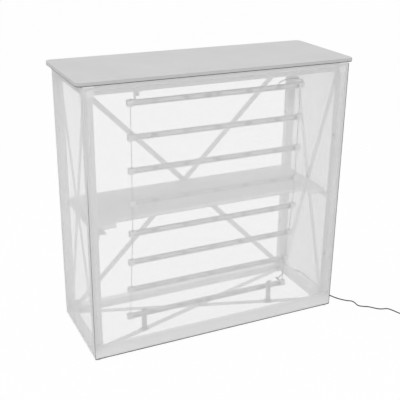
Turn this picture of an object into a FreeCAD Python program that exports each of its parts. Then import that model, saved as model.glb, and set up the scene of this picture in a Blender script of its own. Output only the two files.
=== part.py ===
import FreeCAD, Part
import math
import os
import re
import Sketcher
from FreeCAD import Placement, Rotation, Vector

# Exhibition counter: a knock-down aluminium frame with crossed braces, a loose countertop,
# a shelf, stretched fabric on three sides and a hanging curtain of light bars.
# X runs along the width, -Y is the front, +Z is up. The origin is on the floor, at the middle.

SIZES = {
    # frame of square profiles between corner hubs
    "frame_width": 1000,
    "frame_depth": 378,
    "frame_height": 1004,
    "profile_size": 30,
    "profile_wall": 2,
    "groove_offset": 5,
    "groove_width": 3.4,
    "groove_depth": 10,
    "hub_lip": 6,
    "spigot_length": 25,
    "spigot_clearance": 0.15,
    "lug_size": 30,
    "lug_corner_radius": 10,
    "slot_length": 16,
    "slot_height": 6.5,
    "slot_spacing": 247,
    # crossed braces and their rivets
    "brace_width": 20,
    "brace_thickness": 3,
    "brace_gap": 0.5,
    "back_brace_inset": 29.5,
    "pin_inset": 17,
    "pin_diameter": 6,
    "pin_clearance": 0.1,
    "pin_head_diameter": 11,
    "pin_head_height": 2.5,
    # glide feet
    "foot_height": 6,
    "foot_diameter": 22,
    "foot_taper": 2,
    "foot_stud_diameter": 8,
    "foot_stud_length": 12,
    "foot_stud_clearance": 0.1,
    # countertop and its locating pegs
    "top_thickness": 15,
    "top_overhang_side": 22,
    "top_overhang_front": 2.5,
    "top_corner_radius": 20,
    "top_edge_radius": 2.5,
    "peg_diameter": 12,
    "peg_length": 16,
    "peg_tip": 3,
    "peg_clearance": 0.5,
    # shelf and its bearers
    "shelf_height": 512,
    "shelf_thickness": 15,
    "shelf_edge_inset": 36,
    "shelf_end_gap": 8,
    "shelf_ear_width": 70,
    "shelf_recess": 41,
    "shelf_corner_radius": 5,
    "bearer_width": 30,
    "bearer_drop": 22,
    "bearer_thickness": 3,
    "bearer_end_gap": 2,
    "screw_diameter": 5,
    "screw_clearance": 0.2,
    "screw_head_diameter": 12,
    "screw_head_height": 4,
    "screw_length": 12,
    "nut_width": 12,
    "nut_thickness": 4,
    # fabric and the silicone edge that holds it in the grooves
    "fabric_thickness": 0.8,
    "strip_thickness": 3,
    "strip_depth": 9,
    # curtain of light bars
    "bar_length": 677,
    "bar_height": 18,
    "bar_depth": 12,
    "bar_wall": 1.2,
    "cap_thickness": 2,
    "cap_reach": 20,
    "cap_wall": 1.5,
    "cap_clearance": 0.1,
    "top_bar_drop": 79,
    "bottom_bar_height": 97,
    "curtain_inset_top": 44,
    "curtain_inset_bottom": 97,
    "curtain_gap": 29,
    "lens_pitch": 120,
    "lens_length": 14,
    "lens_radius": 5,
    "string_diameter": 2,
    "string_clearance": 0.5,
    "string_inset": 10,
    "string_bend_radius": 600,
    "bead_diameter": 6,
    "bead_length": 5,
    "hanger_inset": 32,
    "hanger_width": 20,
    "hanger_stem_width": 8,
    "hanger_drop": 27,
    "hanger_screw_diameter": 4,
    "hanger_screw_clearance": 0.1,
    "hanger_screw_length": 10,
    "hanger_screw_head": 8,
    "hanger_screw_head_height": 2.5,
    "strap_thickness": 2,
    "clip_strap_width": 20,
    "clip_strap_rise": 8,
    "clip_length": 30,
    "clip_flange": 4,
    # leads
    "jumper_diameter": 3,
    "jumper_gap": 0.7,
    "grommet_diameter": 5.5,
    "grommet_taper": 0.5,
    "grommet_height": 4,
    "grommet_clearance": 0.05,
    "lead_diameter": 4.5,
    "relief_inset": 10,
    "relief_length": 20,
    "relief_diameter": 9,
    "relief_tip_wall": 1,
    "coil_radius": 35,
    "coil_pitch": 5.2,
    "coil_tail": 20,
    "tie_width": 10,
    "tie_thickness": 1,
    "tie_clearance": 0.4,
    "tie_side_clearance": 1.4,
    "adapter_length": 50,
    "adapter_width": 38,
    "adapter_height": 27,
    "adapter_edge_radius": 4,
    "adapter_relief_length": 20,
    "adapter_pin_diameter": 4,
    "adapter_pin_length": 19,
    "adapter_pin_spacing": 19,
}
BAR_COUNT = 8
LENS_COUNT = 5
LEFT, RIGHT = -1, 1
FRONT, BACK = -1, 1
BOTTOM, TOP = -1, 1
X, Y, Z = Vector(1, 0, 0), Vector(0, 1, 0), Vector(0, 0, 1)
SIDE_WORD = {"x": {LEFT: "left", RIGHT: "right"}, "y": {FRONT: "front", BACK: "back"},
             "z": {BOTTOM: "bottom", TOP: "top"}}
OVERCUT = "2"
ARC_SHARE = 0.45

doc = FreeCAD.newDocument("exhibition_counter")
sheet = doc.addObject("Spreadsheet::Sheet", "Sizes")
for row, (alias, amount) in enumerate(SIZES.items(), start=1):
    sheet.set(f"A{row}", alias)
    sheet.set(f"B{row}", str(amount))
    sheet.setAlias(f"B{row}", alias)
working = doc.addObject("Spreadsheet::Sheet", "Working")
doc.recompute()
subparts = []


# Expressions

def bind(text):
    return re.sub(r"[a-z_]+", lambda word: f"Sizes.{word[0]}" if word[0] in SIZES else word[0], text)


def number(text):
    # the value of an expression, worked out in a cell that nothing else uses
    working.set("A1", f"={bind(text)}")
    working.recompute()
    return float(working.get("A1"))


HUB = "(profile_size + hub_lip)"
PIN = "(profile_size + pin_inset)"
FRAME_TOP = "(foot_height + frame_height)"
RAIL_UNDERSIDE = f"({FRAME_TOP} - profile_size)"
GROOVE_NEAR = "(groove_offset - groove_width/2)"
GROOVE_FAR = "(groove_offset + groove_width/2)"
CHAMBER_FAR = "(profile_size - profile_wall)"
SHELF_LENGTH = "(frame_width - 2*profile_size - 2*shelf_end_gap)"
SHELF_DEPTH = "(frame_depth - 2*shelf_edge_inset)"
SHELF_UNDERSIDE = "(shelf_height - shelf_thickness)"
BRACE_GRIP = "(2*brace_thickness + brace_gap)"
BRACE_MIDDLE = {"x": "profile_size/2", "y": "back_brace_inset", "z": "profile_size/2"}
FRAME_SPAN = {"x": "frame_width", "y": "frame_depth", "z": "frame_height"}


def inset(axis, side, near, far):
    # the stretch between two depths, measured inwards from the frame's outer face on that side
    size = f"({far}) - ({near})"
    if axis == "z":
        start = f"foot_height + ({near})" if side == BOTTOM else f"{FRAME_TOP} - ({far})"
    else:
        half = f"{FRAME_SPAN[axis]}/2"
        start = f"-{half} + ({near})" if side < 0 else f"{half} - ({far})"
    return start, size


def depth_at(axis, side, depth):
    return inset(axis, side, depth, depth)[0]


def about(centre, size):
    return f"({centre}) - ({size})/2", size


# Solids

def node(label, solid):
    solid.Label = label
    subparts.append(solid)
    return solid


def box(name, x, y, z):
    solid = doc.addObject("Part::Box", name)
    for side, axis, (start, size) in zip(("Length", "Width", "Height"), "xyz", (x, y, z)):
        solid.setExpression(side, bind(size))
        solid.setExpression(f"Placement.Base.{axis}", bind(start))
    return solid


TURN_TO = {"x": Rotation(Y, 90), "y": Rotation(X, -90), "z": Rotation()}


def rod(name, axis, radius, length, start, kind="Part::Cylinder"):
    # a round solid along an axis, from the point start; a cone takes two radii
    solid = doc.addObject(kind, name)
    solid.Placement = Placement(Vector(), TURN_TO[axis])
    if kind == "Part::Cone":
        solid.setExpression("Radius1", bind(radius[0]))
        solid.setExpression("Radius2", bind(radius[1]))
    else:
        solid.setExpression("Radius", bind(radius))
    solid.setExpression("Height", bind(length))
    for letter, place in zip("xyz", start):
        solid.setExpression(f"Placement.Base.{letter}", bind(place))
    return solid


def fuse(name, solids):
    joined = doc.addObject("Part::MultiFuse", name)
    joined.Shapes = solids
    joined.Refine = True
    return joined


def cut(name, base, tools):
    tool = tools[0] if len(tools) == 1 else fuse(f"{name}_tools", tools)
    result = doc.addObject("Part::Cut", name)
    result.Base = base
    result.Tool = tool
    result.Refine = True
    return result


def group(name, solids):
    together = doc.addObject("Part::Compound", name)
    together.Links = solids
    return together


# Sketches

def new_body(name):
    body = doc.addObject("PartDesign::Body", name)
    plane = [feature for feature in body.Origin.OriginFeatures if feature.Role == "XY_Plane"][0]
    sketch = body.newObject("Sketcher::SketchObject", f"{name}_sketch")
    sketch.AttachmentSupport = [(plane, "")]
    sketch.MapMode = "FlatFace"
    return body, sketch


def constrain(sketch, kind, *terms):
    # the last term is an expression where the constraint has a size
    if isinstance(terms[-1], str):
        index = sketch.addConstraint(Sketcher.Constraint(kind, *terms[:-1], number(terms[-1])))
        sketch.setExpression(f"Constraints[{index}]", bind(terms[-1]))
    else:
        sketch.addConstraint(Sketcher.Constraint(kind, *terms))


def outline(sketch, corners):
    # a closed outline of level and upright lines through corners given as pairs of expressions
    first = sketch.GeometryCount
    points = [Vector(number(u), number(v), 0) for u, v in corners]
    for start, end in zip(points, points[1:] + points[:1]):
        sketch.addGeometry(Part.LineSegment(start, end))
    count = len(corners)
    for step, (u, v) in enumerate(corners):
        line, following = first + step, first + (step + 1) % count
        constrain(sketch, "Coincident", line, 2, following, 1)
        upright = u == corners[(step + 1) % count][0]
        constrain(sketch, "Vertical" if upright else "Horizontal", line)
        place = u if upright else v
        if place == "0":
            constrain(sketch, "PointOnObject", line, 1, -2 if upright else -1)
        else:
            constrain(sketch, "DistanceX" if upright else "DistanceY", -1, 1, line, 1, place)


def rectangle(u_near, u_far, v_near, v_far):
    return [(u_near, v_near), (u_far, v_near), (u_far, v_far), (u_near, v_far)]


def pad(body, sketch, length):
    feature = body.newObject("PartDesign::Pad", f"{body.Name}_pad")
    feature.Profile = sketch
    feature.setExpression("Length", bind(length))
    return feature


def round_edges(body, base, name, radius, wanted):
    doc.recompute()
    names = [f"Edge{index}" for index, edge in enumerate(base.Shape.Edges, 1) if wanted(edge)]
    feature = body.newObject("PartDesign::Fillet", name)
    feature.Base = (base, names)
    feature.setExpression("Radius", bind(radius))
    return feature


def is_upright(edge):
    return len(edge.Vertexes) == 2 and abs(edge.tangentAt(edge.FirstParameter).z) > 0.99


def extrusion(name, outlines, length, u, v, corner):
    # a profile along its length: u and v point inwards from the frame's faces that meet at corner,
    # and the length runs the other way, with its middle at corner
    body, sketch = new_body(name)
    for corners in outlines:
        outline(sketch, corners)
    pad(body, sketch, length)
    along = u.cross(v)
    body.Placement = Placement(corner - along * (number(length) / 2), Rotation(u, v, along, "XYZ"))
    return body


# Frame: hubs, posts and rails

def spigot(name, axis, along, groove_axis, sides):
    # a stub that enters the bore of the profile running along that axis
    places = {}
    for letter in "xyz":
        near = f"{GROOVE_FAR} + profile_wall" if letter == groove_axis else "profile_wall"
        places[letter] = inset(letter, sides[letter], f"{near} + spigot_clearance",
                               f"{CHAMBER_FAR} - spigot_clearance")
    places[axis] = inset(axis, sides[axis], along, f"{HUB} + spigot_length")
    return box(name, places["x"], places["y"], places["z"])


def brace_layer(axis, side, inner):
    middle = BRACE_MIDDLE[axis]
    near = f"{middle} + brace_gap/2" if inner else f"{middle} - brace_gap/2 - brace_thickness"
    return inset(axis, side, near, f"{near} + brace_thickness")


def lug(name, normal, sides):
    # the ear that takes the end of one brace: it lies in the layer that the brace leaves free
    across = [letter for letter in "xyz" if letter != normal]
    brace_is_inner = sides[across[0]] * sides[across[1]] > 0
    far = "profile_size + lug_size"
    places = {letter: inset(letter, sides[letter], "profile_size", far) for letter in across}
    places[normal] = brace_layer(normal, sides[normal], not brace_is_inner)
    plate = box(f"{name}_plate", places["x"], places["y"], places["z"])
    hole = {letter: depth_at(letter, sides[letter], PIN) for letter in across}
    start, size = places[normal]
    hole[normal] = f"{start} - {OVERCUT}"
    drill = rod(f"{name}_hole", normal, "pin_diameter/2 + pin_clearance", f"{size} + 2*{OVERCUT}",
                (hole["x"], hole["y"], hole["z"]))
    return cut(name, rounded_lug(name, plate, normal, sides, across), [drill])


def rounded_lug(name, plate, normal, sides, across):
    doc.recompute()
    far = {letter: number(depth_at(letter, sides[letter], "profile_size + lug_size")) for letter in across}

    def is_far_corner(edge):
        ends = [vertex.Point for vertex in edge.Vertexes]
        return all(abs(getattr(end, letter) - far[letter]) < 0.01 for end in ends for letter in across)

    corner = [index for index, edge in enumerate(plate.Shape.Edges, 1) if is_far_corner(edge)][0]
    radius = number("lug_corner_radius")
    smooth = doc.addObject("Part::Fillet", f"{name}_rounded")
    smooth.Base = plate
    smooth.Edges = [(corner, radius, radius)]
    return smooth


def hub(side_x, side_y, side_z):
    sides = {"x": side_x, "y": side_y, "z": side_z}
    name = "_".join(("hub", SIDE_WORD["z"][side_z], SIDE_WORD["y"][side_y], SIDE_WORD["x"][side_x]))
    block = box(f"{name}_block", *(inset(letter, sides[letter], "0", HUB) for letter in "xyz"))
    stub_start = f"{HUB} - hub_lip"
    pieces = [
        block,
        spigot(f"{name}_to_post", "z", stub_start, "y" if side_y == BACK else None, sides),
        spigot(f"{name}_to_long_rail", "x", stub_start, "z" if side_y == FRONT else None, sides),
        spigot(f"{name}_to_side_rail", "y", stub_start, "z", sides),
        lug(f"{name}_side_lug", "x", sides),
        lug(f"{name}_level_lug", "z", sides),
    ]
    if side_y == BACK:
        pieces.append(lug(f"{name}_back_lug", "y", sides))
    middle = {letter: depth_at(letter, sides[letter], "profile_size/2") for letter in "xy"}
    if side_z == TOP:
        depth = "(peg_length + peg_clearance)"
        bore = rod(f"{name}_bore", "z", "peg_diameter/2 + peg_clearance", f"{depth} + {OVERCUT}",
                   (middle["x"], middle["y"], f"{FRAME_TOP} - {depth}"))
    else:
        bore = rod(f"{name}_bore", "z", "foot_stud_diameter/2 + foot_stud_clearance",
                   f"foot_stud_length + 2*{OVERCUT}", (middle["x"], middle["y"], f"foot_height - {OVERCUT}"))
    return cut(name, fuse(f"{name}_body", pieces), [bore])


def plain_profile():
    return [rectangle("0", "profile_size", "0", "profile_size"),
            rectangle("profile_wall", CHAMBER_FAR, "profile_wall", CHAMBER_FAR)]


def grooved_profile():
    body = [("0", "0"), ("profile_size", "0"), ("profile_size", "profile_size"), ("0", "profile_size"),
            ("0", GROOVE_FAR), ("groove_depth", GROOVE_FAR),
            ("groove_depth", GROOVE_NEAR), ("0", GROOVE_NEAR)]
    chamber = rectangle("profile_wall", CHAMBER_FAR, f"{GROOVE_FAR} + profile_wall", CHAMBER_FAR)
    return [body, chamber]


BEARER_SCREW_HEIGHT = f"({SHELF_UNDERSIDE} - bearer_drop/2)"


def post(side_x, side_y):
    name = f"post_{SIDE_WORD['y'][side_y]}_{SIDE_WORD['x'][side_x]}"
    corner = Vector(side_x * number("frame_width/2"), side_y * number("frame_depth/2"),
                    number("foot_height + frame_height/2"))
    outlines = grooved_profile() if side_y == BACK else plain_profile()
    tube = extrusion(f"{name}_tube", outlines, f"frame_height - 2*{HUB}", X * -side_x, Y * -side_y, corner)
    wall = inset("x", side_x, f"{CHAMBER_FAR} - {OVERCUT}", f"profile_size + {OVERCUT}")
    width = about(depth_at("y", side_y, "profile_size/2"), "slot_length")
    heights = [f"{BEARER_SCREW_HEIGHT} + ({step})*slot_spacing" for step in (-1, 0, 1)]
    slots = [box(f"{name}_slot", wall, width, about(height, "slot_height")) for height in heights]
    return node(name, cut(name, tube, slots))


HANGER_SCREW_Y = "(-frame_depth/2 + profile_size/2)"


def hanger_middle(side):
    return f"({side})*(bar_length/2 - hanger_inset)"


def long_rail(side_y, side_z):
    name = f"{SIDE_WORD['z'][side_z]}_rail_{SIDE_WORD['y'][side_y]}"
    corner = Vector(0, side_y * number("frame_depth/2"), number(depth_at("z", side_z, "0")))
    outlines = plain_profile() if side_y == BACK else grooved_profile()
    length = f"frame_width - 2*{HUB}"
    if (side_y, side_z) != (FRONT, TOP):
        return node(name, extrusion(name, outlines, length, Y * -side_y, Z * -side_z, corner))
    tube = extrusion(f"{name}_tube", outlines, length, Y * -side_y, Z * -side_z, corner)
    low = f"{RAIL_UNDERSIDE} - {OVERCUT}"
    holes = [rod(f"{name}_hole", "z", "hanger_screw_diameter/2 + hanger_screw_clearance",
                 f"profile_wall + 2*{OVERCUT}", (hanger_middle(side), HANGER_SCREW_Y, low))
             for side in (LEFT, RIGHT)]
    return node(name, cut(name, tube, holes))


def side_rail(side_x, side_z):
    name = f"{SIDE_WORD['z'][side_z]}_rail_{SIDE_WORD['x'][side_x]}"
    corner = Vector(side_x * number("frame_width/2"), 0, number(depth_at("z", side_z, "0")))
    length = f"frame_depth - 2*{HUB}"
    return node(name, extrusion(name, grooved_profile(), length, X * -side_x, Z * -side_z, corner))


for level in (BOTTOM, TOP):
    hubs = [hub(side_x, side_y, level) for side_x in (LEFT, RIGHT) for side_y in (FRONT, BACK)]
    node(f"corner_hubs_{SIDE_WORD['z'][level]}", group(f"corner_hubs_{SIDE_WORD['z'][level]}", hubs))
    for side in (FRONT, BACK):
        long_rail(side, level)
    for side in (LEFT, RIGHT):
        side_rail(side, level)
for side_x in (LEFT, RIGHT):
    for side_y in (FRONT, BACK):
        post(side_x, side_y)


# Crossed braces

BRACE_PLANES = [
    # name of the cross, axis square to it, side of the frame, names of its inner and outer brace
    ("back", "y", BACK, ("back_brace_rising", "back_brace_falling")),
    ("left", "x", LEFT, ("left_brace_rising", "left_brace_falling")),
    ("right", "x", RIGHT, ("right_brace_rising", "right_brace_falling")),
    ("bottom", "z", BOTTOM, ("bottom_brace_from_front_left", "bottom_brace_from_back_left")),
    ("top", "z", TOP, ("top_brace_from_front_left", "top_brace_from_back_left")),
]


def brace_sketch(sketch, length):
    radius = "brace_width/2"
    r, span = number(radius), number(length)
    left = Part.ArcOfCircle(Part.Circle(Vector(0, 0, 0), Z, r), math.pi / 2, 3 * math.pi / 2)
    right = Part.ArcOfCircle(Part.Circle(Vector(span, 0, 0), Z, r), -math.pi / 2, math.pi / 2)
    upper = Part.LineSegment(Vector(0, r, 0), Vector(span, r, 0))
    lower = Part.LineSegment(Vector(span, -r, 0), Vector(0, -r, 0))
    left, upper, right, lower = (sketch.addGeometry(piece) for piece in (left, upper, right, lower))
    constrain(sketch, "Tangent", left, 1, upper, 1)
    constrain(sketch, "Tangent", upper, 2, right, 2)
    constrain(sketch, "Tangent", right, 1, lower, 1)
    constrain(sketch, "Tangent", lower, 2, left, 2)
    constrain(sketch, "Coincident", left, 3, -1, 1)
    constrain(sketch, "PointOnObject", right, 3, -1)
    constrain(sketch, "DistanceX", left, 3, right, 3, length)
    constrain(sketch, "Radius", left, radius)
    constrain(sketch, "Equal", left, right)
    hole = "pin_diameter/2 + pin_clearance"
    for place in ("0", f"{length}/2", length):
        centre = Vector(number(place), 0, 0)
        circle = sketch.addGeometry(Part.Circle(centre, Z, number(hole)))
        constrain(sketch, "Radius", circle, hole)
        if place == "0":
            constrain(sketch, "Coincident", circle, 3, -1, 1)
        else:
            constrain(sketch, "PointOnObject", circle, 3, -1)
            constrain(sketch, "DistanceX", -1, 1, circle, 3, place)


def pin_span(axis):
    return f"({FRAME_SPAN[axis]} - 2*{PIN})"


def brace(name, normal, side, inner):
    first, second = [letter for letter in "xyz" if letter != normal]
    length = f"sqrt({pin_span(first)}^2 + {pin_span(second)}^2)"
    body, sketch = new_body(name)
    brace_sketch(sketch, length)
    pad(body, sketch, "brace_thickness")
    low, high = {first: -1, second: -1}, {first: 1, second: 1}
    if not inner:
        low[second], high[second] = 1, -1
    ends = []
    for corner in (low, high):
        end = Vector()
        for letter in (first, second):
            setattr(end, letter, number(depth_at(letter, corner[letter], PIN)))
        setattr(end, normal, number(brace_layer(normal, side, inner)[0]))
        ends.append(end)
    along = (ends[1] - ends[0]).normalize()
    upward = {"x": X, "y": Y, "z": Z}[normal]
    body.Placement = Placement(ends[0], Rotation(along, upward.cross(along), upward, "XYZ"))
    return node(name, body)


def rivet(name, axis, side, places):
    # a shank with a flat head at each end, through two layers of brace
    radius, head = "pin_diameter/2", "pin_head_diameter/2"
    near = f"{BRACE_MIDDLE[axis]} - {BRACE_GRIP}/2"
    solids = []
    for part, reach, depth, size in (
            ("shank", radius, near, BRACE_GRIP),
            ("outer_head", head, f"{near} - pin_head_height", "pin_head_height"),
            ("inner_head", head, f"{near} + {BRACE_GRIP}", "pin_head_height")):
        place = dict(places)
        place[axis] = inset(axis, side, depth, f"{depth} + {size}")[0]
        solids.append(rod(f"{name}_{part}", axis, reach, size, (place["x"], place["y"], place["z"])))
    return fuse(name, solids)


MIDDLE = {"x": "0", "y": "0", "z": "(foot_height + frame_height/2)"}
pivots, end_pins = [], []
for cross, normal, side, names in BRACE_PLANES:
    for name, inner in zip(names, (True, False)):
        brace(name, normal, side, inner)
    pivots.append(rivet(f"{cross}_pivot", normal, side, {letter: MIDDLE[letter] for letter in "xyz"}))
    across = [letter for letter in "xyz" if letter != normal]
    for first_side in (-1, 1):
        for second_side in (-1, 1):
            places = {across[0]: depth_at(across[0], first_side, PIN),
                      across[1]: depth_at(across[1], second_side, PIN)}
            end_pins.append(rivet(f"{cross}_pin", normal, side, places))
node("brace_pivots", group("brace_pivots", pivots))
node("brace_end_pins", group("brace_end_pins", end_pins))


# Feet

def glide_foot(side_x, side_y):
    place = (depth_at("x", side_x, "profile_size/2"), depth_at("y", side_y, "profile_size/2"))
    base = rod("foot_taper", "z", ("foot_diameter/2 - foot_taper", "foot_diameter/2"), "foot_taper",
               (*place, "0"), "Part::Cone")
    disc = rod("foot_disc", "z", "foot_diameter/2", "foot_height - foot_taper", (*place, "foot_taper"))
    stud = rod("foot_stud", "z", "foot_stud_diameter/2", "foot_stud_length", (*place, "foot_height"))
    return fuse("foot", [base, disc, stud])


node("glide_feet", group("glide_feet", [glide_foot(x, y) for x in (LEFT, RIGHT) for y in (FRONT, BACK)]))


# Countertop

def countertop():
    body, sketch = new_body("countertop")
    length, width = "frame_width + 2*top_overhang_side", "frame_depth + 2*top_overhang_front"
    outline(sketch, rectangle("0", length, "0", width))
    slab = pad(body, sketch, "top_thickness")
    rounded = round_edges(body, slab, "countertop_corners", "top_corner_radius", is_upright)
    thickness = number("top_thickness")

    def is_rim(edge):
        return all(min(abs(v.Z), abs(v.Z - thickness)) < 0.01 for v in edge.Vertexes) and not is_upright(edge)

    round_edges(body, rounded, "countertop_rim", "top_edge_radius", is_rim)
    body.Placement = Placement(Vector(-number(length) / 2, -number(width) / 2, number(FRAME_TOP)), Rotation())
    return node("countertop", body)


def locating_peg(side_x, side_y):
    place = (depth_at("x", side_x, "profile_size/2"), depth_at("y", side_y, "profile_size/2"))
    shank = rod("peg_shank", "z", "peg_diameter/2", "peg_length - peg_tip",
                (*place, f"{FRAME_TOP} - peg_length + peg_tip"))
    tip = rod("peg_tip", "z", ("peg_diameter/2 - peg_tip/2", "peg_diameter/2"), "peg_tip",
              (*place, f"{FRAME_TOP} - peg_length"), "Part::Cone")
    return fuse("peg", [shank, tip])


countertop()
node("countertop_pegs", group("countertop_pegs",
                              [locating_peg(x, y) for x in (LEFT, RIGHT) for y in (FRONT, BACK)]))


# Shelf and bearers

def shelf():
    body, sketch = new_body("shelf")
    far_ear = f"{SHELF_LENGTH} - shelf_ear_width"
    outline(sketch, [("0", "0"), ("shelf_ear_width", "0"), ("shelf_ear_width", "shelf_recess"),
                     (far_ear, "shelf_recess"), (far_ear, "0"), (SHELF_LENGTH, "0"),
                     (SHELF_LENGTH, SHELF_DEPTH), ("0", SHELF_DEPTH)])
    board = pad(body, sketch, "shelf_thickness")
    round_edges(body, board, "shelf_corners", "shelf_corner_radius", is_upright)
    body.Placement = Placement(Vector(-number(SHELF_LENGTH) / 2, -number(SHELF_DEPTH) / 2,
                                      number(SHELF_UNDERSIDE)), Rotation())
    return node("shelf", body)


def bearer(side_x):
    # an angle screwed to the inner faces of two posts, with its drop leg against them
    name = f"shelf_bearer_{SIDE_WORD['x'][side_x]}"
    angle = [("0", "0"), ("bearer_width", "0"), ("bearer_width", "bearer_thickness"),
             ("bearer_thickness", "bearer_thickness"), ("bearer_thickness", "bearer_drop"),
             ("0", "bearer_drop")]
    corner = Vector(number(depth_at("x", side_x, "profile_size")), 0, number(SHELF_UNDERSIDE))
    length = "frame_depth - 2*bearer_end_gap"
    bar = extrusion(f"{name}_angle", [angle], length, X * -side_x, -Z, corner)
    near, far = f"profile_size - {OVERCUT}", f"profile_size + bearer_thickness + {OVERCUT}"
    start, depth = inset("x", side_x, near, far)
    holes = [rod(f"{name}_hole", "x", "screw_diameter/2 + screw_clearance", depth,
                 (start, depth_at("y", side_y, "profile_size/2"), BEARER_SCREW_HEIGHT))
             for side_y in (FRONT, BACK)]
    return node(name, cut(name, bar, holes))


def bearer_screw(side_x, side_y):
    # a screw through the bearer and the post's slot, and its nut inside the post
    place = (depth_at("y", side_y, "profile_size/2"), BEARER_SCREW_HEIGHT)
    head_near = "profile_size + bearer_thickness"
    head = rod("screw_head", "x", "screw_head_diameter/2", "screw_head_height",
               (inset("x", side_x, head_near, f"{head_near} + screw_head_height")[0], *place))
    shank = rod("screw_shank", "x", "screw_diameter/2", "screw_length",
                (inset("x", side_x, f"{head_near} - screw_length", head_near)[0], *place))
    nut_across = inset("x", side_x, f"{CHAMBER_FAR} - nut_thickness", CHAMBER_FAR)
    plate = box("nut_plate", nut_across, about(place[0], "nut_width"), about(place[1], "nut_width"))
    thread = rod("nut_thread", "x", "screw_diameter/2", "nut_thickness", (nut_across[0], *place))
    return [fuse("screw", [head, shank]), cut("nut", plate, [thread])]


shelf()
for side in (LEFT, RIGHT):
    bearer(side)
screws = [piece for x in (LEFT, RIGHT) for y in (FRONT, BACK) for piece in bearer_screw(x, y)]
node("bearer_screws_and_nuts", group("bearer_screws_and_nuts", screws))


# Fabric on three sides, and the silicone edge sewn to it

STRIP_NEAR = "(groove_offset - strip_thickness/2)"
STRIP_FAR = "(groove_offset + strip_thickness/2)"
PANEL_HEIGHT = (f"foot_height + {STRIP_NEAR}", f"frame_height - 2*{STRIP_NEAR}")


def fabric():
    span = "(frame_width + 2*fabric_thickness)"
    node("fabric_front", box("fabric_front", (f"-{span}/2", span),
                             ("-frame_depth/2 - fabric_thickness", "fabric_thickness"), PANEL_HEIGHT))
    for side_x in (LEFT, RIGHT):
        name = f"fabric_{SIDE_WORD['x'][side_x]}"
        node(name, box(name, inset("x", side_x, "-fabric_thickness", "0"),
                       ("-frame_depth/2", f"frame_depth - {STRIP_NEAR}"), PANEL_HEIGHT))


def edge_strips():
    along = {letter: inset(letter, -1, HUB, f"{FRAME_SPAN[letter]} - {HUB}") for letter in "xyz"}
    level = {side: inset("z", side, STRIP_NEAR, STRIP_FAR) for side in (BOTTOM, TOP)}
    front = [box("strip", along["x"], inset("y", FRONT, "0", "strip_depth"), level[z]) for z in (BOTTOM, TOP)]
    node("edge_strip_front", group("edge_strip_front", front))
    for side_x in (LEFT, RIGHT):
        across = inset("x", side_x, "0", "strip_depth")
        strips = [box("strip", across, along["y"], level[z]) for z in (BOTTOM, TOP)]
        strips.append(box("strip", across, inset("y", BACK, STRIP_NEAR, STRIP_FAR), along["z"]))
        name = f"edge_strip_{SIDE_WORD['x'][side_x]}"
        node(name, group(name, strips))


fabric()
edge_strips()


# Curtain of light bars: it hangs from the front top rail, leans back from the shelf downwards
# and is clipped to the bottom cross

top_bar_z = number(f"{FRAME_TOP} - top_bar_drop")
bottom_bar_z = number("bottom_bar_height")
shelf_middle_z = number("shelf_height - shelf_thickness/2")
curtain_top_y = number("-frame_depth/2 + curtain_inset_top")
curtain_shelf_y = number(f"-{SHELF_DEPTH}/2 + shelf_recess - string_diameter/2 - curtain_gap")
curtain_bottom_y = number("-frame_depth/2 + curtain_inset_bottom")


def curtain_y(z):
    if z > shelf_middle_z:
        share = (z - shelf_middle_z) / (top_bar_z - shelf_middle_z)
        return curtain_shelf_y + share * (curtain_top_y - curtain_shelf_y)
    share = (shelf_middle_z - z) / (shelf_middle_z - bottom_bar_z)
    return curtain_shelf_y + share * (curtain_bottom_y - curtain_shelf_y)


CAP_GROWTH = "(cap_wall + cap_clearance)"
bar_heights = [top_bar_z + step * (bottom_bar_z - top_bar_z) / (BAR_COUNT - 1) for step in range(BAR_COUNT)]
string_x = number("bar_length/2 - string_inset")


def text(amount):
    return f"({amount:.6f})"


def light_bar(index, z):
    # a channel open to the front, with a hole through both flanges for each string
    name = f"light_bar_{index}"
    y = curtain_y(z)
    inner_far, inner_top = "bar_depth - bar_wall", "bar_height - bar_wall"
    channel = [("0", "0"), ("bar_depth", "0"), ("bar_depth", "bar_height"), ("0", "bar_height"),
               ("0", inner_top), (inner_far, inner_top), (inner_far, "bar_wall"), ("0", "bar_wall")]
    corner = Vector(0, y - number("bar_depth/2"), z - number("bar_height/2"))
    bar = extrusion(f"{name}_channel", [channel], "bar_length", Y, Z, corner)
    return node(name, cut(name, bar, [string_hole(side, z) for side in (LEFT, RIGHT)]))


def string_hole(side, z):
    # leans with the string
    reach = number("bar_height")
    low = Vector(side * string_x, curtain_y(z - reach), z - reach)
    high = Vector(side * string_x, curtain_y(z + reach), z + reach)
    hole = doc.addObject("Part::Cylinder", "string_hole")
    hole.setExpression("Radius", bind("string_diameter/2 + string_clearance"))
    hole.setExpression("Height", bind("2*bar_height"))
    hole.Placement = Placement(low, Rotation(Z, high - low))
    return hole


def lens(x, z):
    # a half-round lens with its flat side on the channel's back wall
    solid = doc.addObject("Part::Cylinder", "lens")
    solid.setExpression("Radius", bind("lens_radius"))
    solid.setExpression("Height", bind("lens_length"))
    solid.Angle = 180
    back = curtain_y(z) + number("bar_depth/2 - bar_wall")
    solid.Placement = Placement(Vector(x - number("lens_length/2"), back, z), Rotation(Z, -Y, X, "XYZ"))
    return solid


def end_cap(side, z):
    # a moulded sleeve over the channel's end, with a hole for the string through its top and bottom walls
    start = "bar_length/2 - cap_reach" if side == RIGHT else "-bar_length/2 - cap_thickness"
    pocket_start = "bar_length/2 - cap_reach" if side == RIGHT else "-bar_length/2"
    y, middle_z = text(curtain_y(z)), text(z)
    block = box("cap_block", (start, "cap_reach + cap_thickness"), about(y, f"bar_depth + 2*{CAP_GROWTH}"),
                about(middle_z, f"bar_height + 2*{CAP_GROWTH}"))
    pocket = box("cap_pocket", (pocket_start, "cap_reach"), about(y, "bar_depth + 2*cap_clearance"),
                 about(middle_z, "bar_height + 2*cap_clearance"))
    return cut("end_cap", block, [pocket, string_hole(side, z)])


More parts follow.
